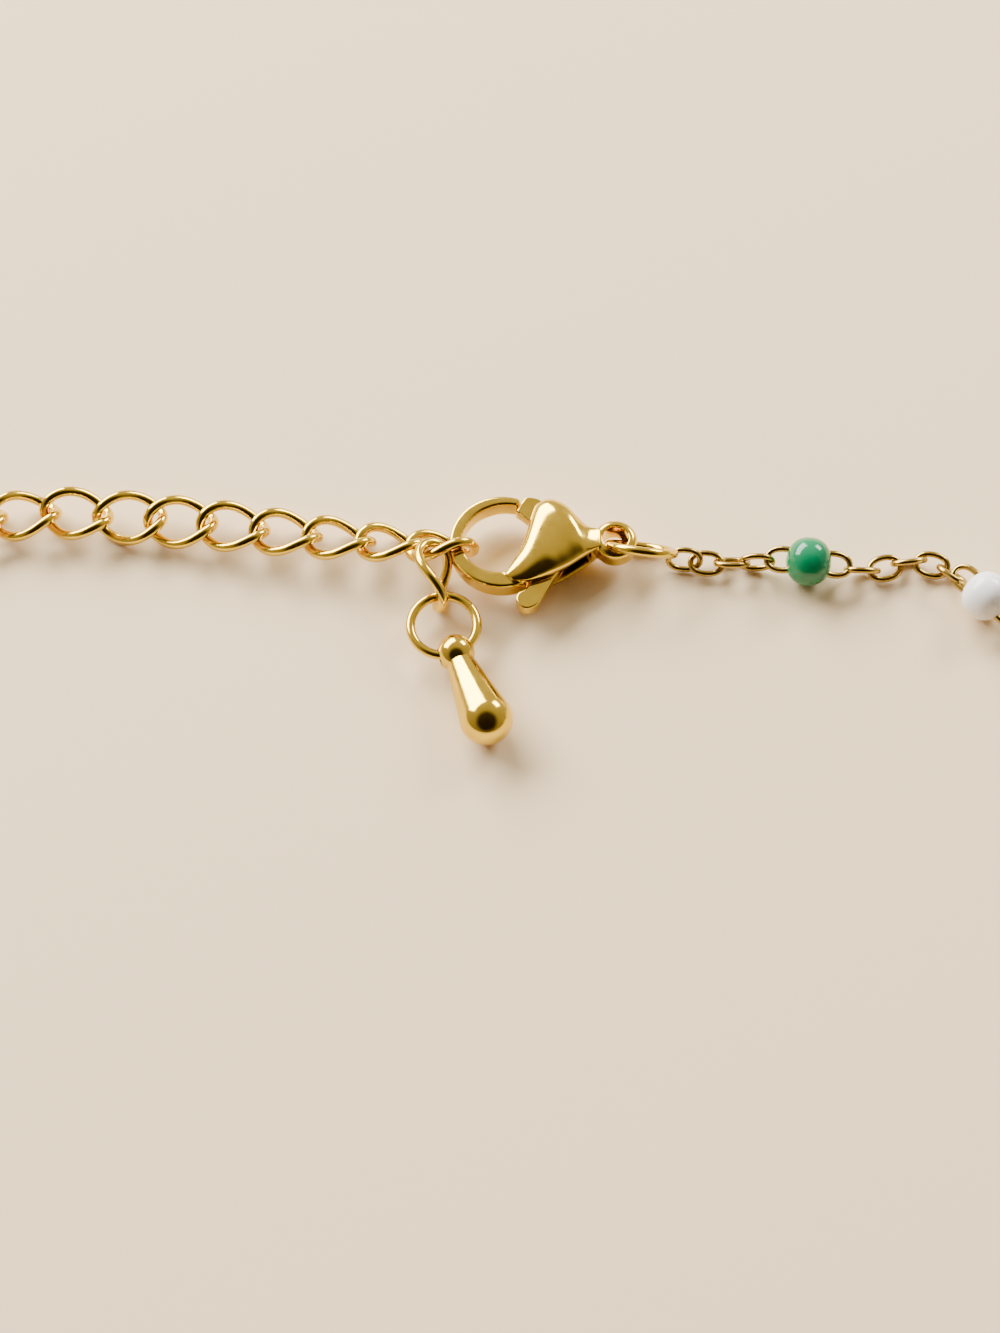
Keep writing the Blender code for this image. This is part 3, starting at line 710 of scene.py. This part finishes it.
def make_drop(gold, place, turn):
    rings = []
    for along, radius in drop_profile():
        radius = max(radius, LEAST_RADIUS)
        rings.append([(along, radius * math.cos(a), radius * math.sin(a))
                      for a in round_angles(ROUND_SIDES)])
    body = working_object("turned", *grid(rings))
    shift = DROP_HOLE / 2.0 - RING_WIRE / 2.0 - 2.0 * CONTACT_GAP
    hole = cylinder("cross_hole", DROP_HOLE / 2.0, 4.0, HOLE_SIDES, (-shift, 0.0, 0.0), "Y")
    cut_with(body, hole, "DIFFERENCE")
    verts, faces = finished(body, [hole])
    verts = posed(np.array(verts), place, turn)
    drop = piece("polished_drop", verts, faces, gold, ["drop"])
    drop.data.set_sharp_from_angle(angle=math.radians(DROP_SHARP_EDGE))


def bead_shape():
    """Rounded bead with slightly flattened ends, along X."""
    rings = []
    for share in np.sin(np.linspace(-math.pi / 2.0, math.pi / 2.0, 25)):
        fall = max(0.0, 1.0 - abs(share) ** BEAD_FLATNESS)
        radius = max(BEAD_DIAMETER / 2.0 * fall ** (1.0 / BEAD_FULLNESS), BEAD_END_RADIUS)
        rings.append([(share * BEAD_LENGTH / 2.0, radius * math.cos(a), radius * math.sin(a))
                      for a in round_angles(BEAD_SIDES)])
    return grid(rings)


def bead_distances(start, finish):
    distances = [start + FIRST_BEAD, start + FIRST_BEAD + SECOND_BEAD]
    while distances[-1] + BEAD_PITCH < finish - BEAD_LENGTH:
        distances.append(distances[-1] + BEAD_PITCH)
    return distances


def make_fine_chain(route, start, finish, looks):
    """Cable links and enamel beads in place of the two tubes."""
    gold, green, white = looks
    link = tube(cable_line(CABLE_SEGMENTS), CABLE_WIRE, CABLE_SIDES)
    bead = bead_shape()
    high = BEAD_DIAMETER / 2.0 + SURFACE_GAP
    beads = bead_distances(start, finish)
    half = len(beads) // 2
    meeting = (beads[half - 1] + beads[half]) / 2.0
    sides = {"right": ([], [], []), "left": ([], [], [])}

    def side_of(distance):
        return "right" if distance < meeting else "left"

    def add_link(side, place, turn):
        sides[side][0].append((posed(link[0], place, turn), link[1]))

    for index, distance in enumerate(beads):
        side = side_of(distance)
        place, heading = route_at(route, distance)
        degrees = math.degrees(heading)
        turn = turn_of(0.0, 0.0, degrees)
        kind = 1 if index % 2 == 0 else 2
        sides[side][kind].append((posed(np.array(bead[0]), (place[0], place[1], high), turn), bead[1]))
        for end in (-1.0, 1.0):
            spot, lean = route_at(route, distance + end * BEAD_LOOP)
            add_link(side, (spot[0], spot[1], high - LOOP_SINK),
                     turn_of(LOOP_ROLL, -end * LOOP_DIP, math.degrees(lean)))
    for x, y, z, roll, rise, heading in SHOWN_LINKS:
        add_link("right", (x, y, z), turn_of(roll, rise, heading))
    stretches = list(zip(beads[1:], beads[2:])) + [(beads[-1], finish + LAST_REACH)]
    for first, second in stretches:
        begin = first + BEAD_LOOP
        end = second - BEAD_LOOP if second < finish else second
        count = max(1, round((end - begin) / CABLE_PITCH) - 1)
        pitch = (end - begin) / (count + 1)
        for step in range(1, count + 1):
            distance = begin + pitch * step
            spot, lean = route_at(route, distance)
            near = min(distance - begin, end - distance) / pitch
            height = CABLE_REST + max(0.0, CLIMB_LINKS - near) * CABLE_CLIMB
            roll = CABLE_ROLL if step % 2 else -CABLE_ROLL
            add_link(side_of(distance), (spot[0], spot[1], height),
                     turn_of(roll, 0.0, math.degrees(lean)))
    for side, (links, greens, whites) in sides.items():
        node = f"beaded_chain_{side}"
        for name, parts, look, slot in (("cable_links", links, gold, "gold"),
                                        ("green_beads", greens, green, "enamel_green"),
                                        ("white_beads", whites, white, "enamel_white")):
            verts, faces = join(parts)
            piece(f"{name}_{side}", verts, faces, look, [node])


def area_light(name, place, size, watts):
    data = bpy.data.lights.new(name, "AREA")
    data.shape = "RECTANGLE"
    data.size, data.size_y = size
    data.energy = watts
    data.color = LIGHT_COLOUR
    item = new_object(name, data)
    item.location = place
    item.rotation_euler = (Vector(LIGHT_TARGET) - Vector(place)).to_track_quat("-Z", "Y").to_euler()


def set_stage():
    """Camera at the photograph's angle, plain floor, and soft studio light."""
    camera = bpy.data.cameras.new("camera")
    camera.lens = LENS
    camera.sensor_width = SENSOR
    camera.clip_start = 0.001
    camera.clip_end = 10.0
    view = new_object("camera", camera)
    view.location = CAMERA_PLACE
    view.rotation_euler = (math.radians(CAMERA_TILT), 0.0, 0.0)
    bpy.context.scene.camera = view

    floor_mesh = bpy.data.meshes.new("floor")
    corners = [(x * FLOOR_REACH, y * FLOOR_REACH, 0.0) for x, y in ((-1, -1), (1, -1), (1, 1), (-1, 1))]
    floor_mesh.from_pydata(corners, [], [(0, 1, 2, 3)])
    look, _, _, shader = material("floor", FLOOR_COLOUR)
    shader.inputs["Roughness"].default_value = 0.9
    floor_mesh.materials.append(look)
    floor = new_object("floor", floor_mesh)
    set_world()
    area_light("key", *KEY_LIGHT)
    area_light("far", *FAR_LIGHT)


def set_world():
    """Room that is light at the far side and dark in one direction, which stays put in every view."""
    world = bpy.data.worlds.new("studio")
    world.use_nodes = True
    nodes = world.node_tree.nodes
    links = world.node_tree.links
    coords = nodes.new("ShaderNodeTexCoord")
    split = nodes.new("ShaderNodeSeparateXYZ")
    links.new(coords.outputs["Generated"], split.inputs["Vector"])
    far = nodes.new("ShaderNodeMapRange")
    far.inputs["From Min"].default_value = -1.0
    far.inputs["From Max"].default_value = 1.0
    links.new(split.outputs["Y"], far.inputs["Value"])
    sky = ramp(nodes, links, far.outputs["Result"], SKY_NEAR, SKY_FAR, 0.0, 1.0)
    toward = nodes.new("ShaderNodeVectorMath")
    toward.operation = "DOT_PRODUCT"
    toward.inputs[1].default_value = DARK_SIDE
    links.new(coords.outputs["Generated"], toward.inputs[0])
    shade = ramp(nodes, links, toward.outputs["Value"], (1.0, 1.0, 1.0, 1.0), DARK_COLOUR, *DARK_EDGES)
    mix = nodes.new("ShaderNodeMix")
    mix.data_type = "RGBA"
    mix.blend_type = "MULTIPLY"
    mix.inputs["Factor"].default_value = 1.0
    links.new(sky.outputs["Color"], mix.inputs[6])
    links.new(shade.outputs["Color"], mix.inputs[7])
    links.new(mix.outputs[2], nodes["Background"].inputs["Color"])
    nodes["Background"].inputs["Strength"].default_value = SKY_STRENGTH
    bpy.context.scene.world = world


def build():
    set_stage()
    gold = gold_material("polished_gold", GOLD, GOLD_ROUGHNESS)
    brassy = gold_material("chain_gold", CHAIN_GOLD, CHAIN_ROUGHNESS)
    green = enamel_material("green_enamel", GREEN)
    white = enamel_material("white_enamel", WHITE)
    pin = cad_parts["clasp_pin"]
    pin.data.materials.clear()
    pin.data.materials.append(gold)
    route = measure_route()
    make_clasp(gold)
    make_lever(gold)

    poses, distance = lay_extension(route)
    fine = link_line(FINE_LINK_SEGMENTS)
    for index, (place, turn) in enumerate(poses):
        node = f"extender_link_{index + 2:02d}"
        verts, faces = tube(posed(fine, place, turn), LINK_WIRE, LINK_SIDES)
        piece("polished_" + node, verts, faces, gold, [node])
    end_place = poses[0][0] + np.array(END_OFFSET) * LINK_LENGTH
    verts, faces = tube(posed(fine, end_place, turn_of(*END_POSE)), LINK_WIRE, LINK_SIDES)
    piece("polished_extender_link_01", verts, faces, gold, ["extender_link_01"])

    radius = (RING_DIAMETER - RING_WIRE) / 2.0
    ring_place = end_place + np.array(DROP_RING_OFFSET) * LINK_LENGTH
    ring_turn = turn_of(DROP_RING_ROLL, 0.0, 0.0)
    cut = math.degrees(RING_CUT / radius)
    line = ring_line(FINE_RING_SEGMENTS, DROP_RING_CUT_ANGLE + cut / 2.0, 360.0 - cut)
    verts, faces = tube(posed(line, ring_place, ring_turn), RING_WIRE, RING_SIDES, False)
    ring = piece("polished_drop_ring", verts, faces, gold, ["drop_ring"])
    ring.data.set_sharp_from_angle(angle=math.radians(SHARP_EDGE))
    heading = math.radians(DROP_HEADING)
    near_side = ring_turn.to_matrix() @ Vector((math.cos(heading), math.sin(heading), 0.0))
    drop_place = ring_place + radius * np.array(near_side)
    rise = DROP_BALL / 2.0 + SURFACE_GAP - drop_place[2]
    pitch = math.degrees(math.asin(rise / (DROP_LENGTH - DROP_HEAD / 2.0 - DROP_BALL / 2.0)))
    make_drop(gold, drop_place, turn_of(0.0, pitch, DROP_HEADING))

    eye = np.array(EYE_CENTRE) * CLASP_LENGTH
    tilt = turn_of(CLASP_RING_ROLL, 0.0, CLASP_RING_HEADING)
    height = resting_height(posed(ring_line(RING_SEGMENTS), (0.0, 0.0, 0.0), tilt), RING_WIRE)
    away = math.radians(CLASP_RING_HEADING)
    reach = radius - (EYE_HOLE / 2.0 - RING_WIRE / 2.0 - 2.0 * CONTACT_GAP)
    ring_x = eye[0] + reach * math.cos(away)
    ring_y = eye[1] + reach * math.sin(away) + CLASP_RING_SHIFT
    fine_ring = ring_line(FINE_RING_SEGMENTS)
    verts, faces = tube(posed(fine_ring, (ring_x, ring_y, height), tilt), RING_WIRE, RING_SIDES)
    piece("polished_clasp_ring", verts, faces, gold, ["clasp_ring"])

    previous = posed(link_line(LINK_SEGMENTS), poses[-1][0], poses[-1][1])
    length = (RING_DIAMETER + LINK_LENGTH) / 2.0 - RING_WIRE - LINK_WIRE
    place, turn, step = hang_next(route, distance, previous, LINK_WIRE, ring_line(RING_SEGMENTS),
                                  RING_WIRE, length, END_RING_ROLL, 0.0)
    verts, faces = tube(posed(fine_ring, place, turn), RING_WIRE, RING_SIDES)
    piece("polished_end_ring", verts, faces, gold, ["end_ring"])

    start = ring_x + radius * math.cos(away) + RING_WIRE / 2.0 + CONTACT_GAP - CHAIN_ROUTE[0][0] / MM
    finish = distance - step - RING_DIAMETER / 2.0 - CONTACT_GAP
    make_fine_chain(route, start, finish, (brassy, green, white))


build()
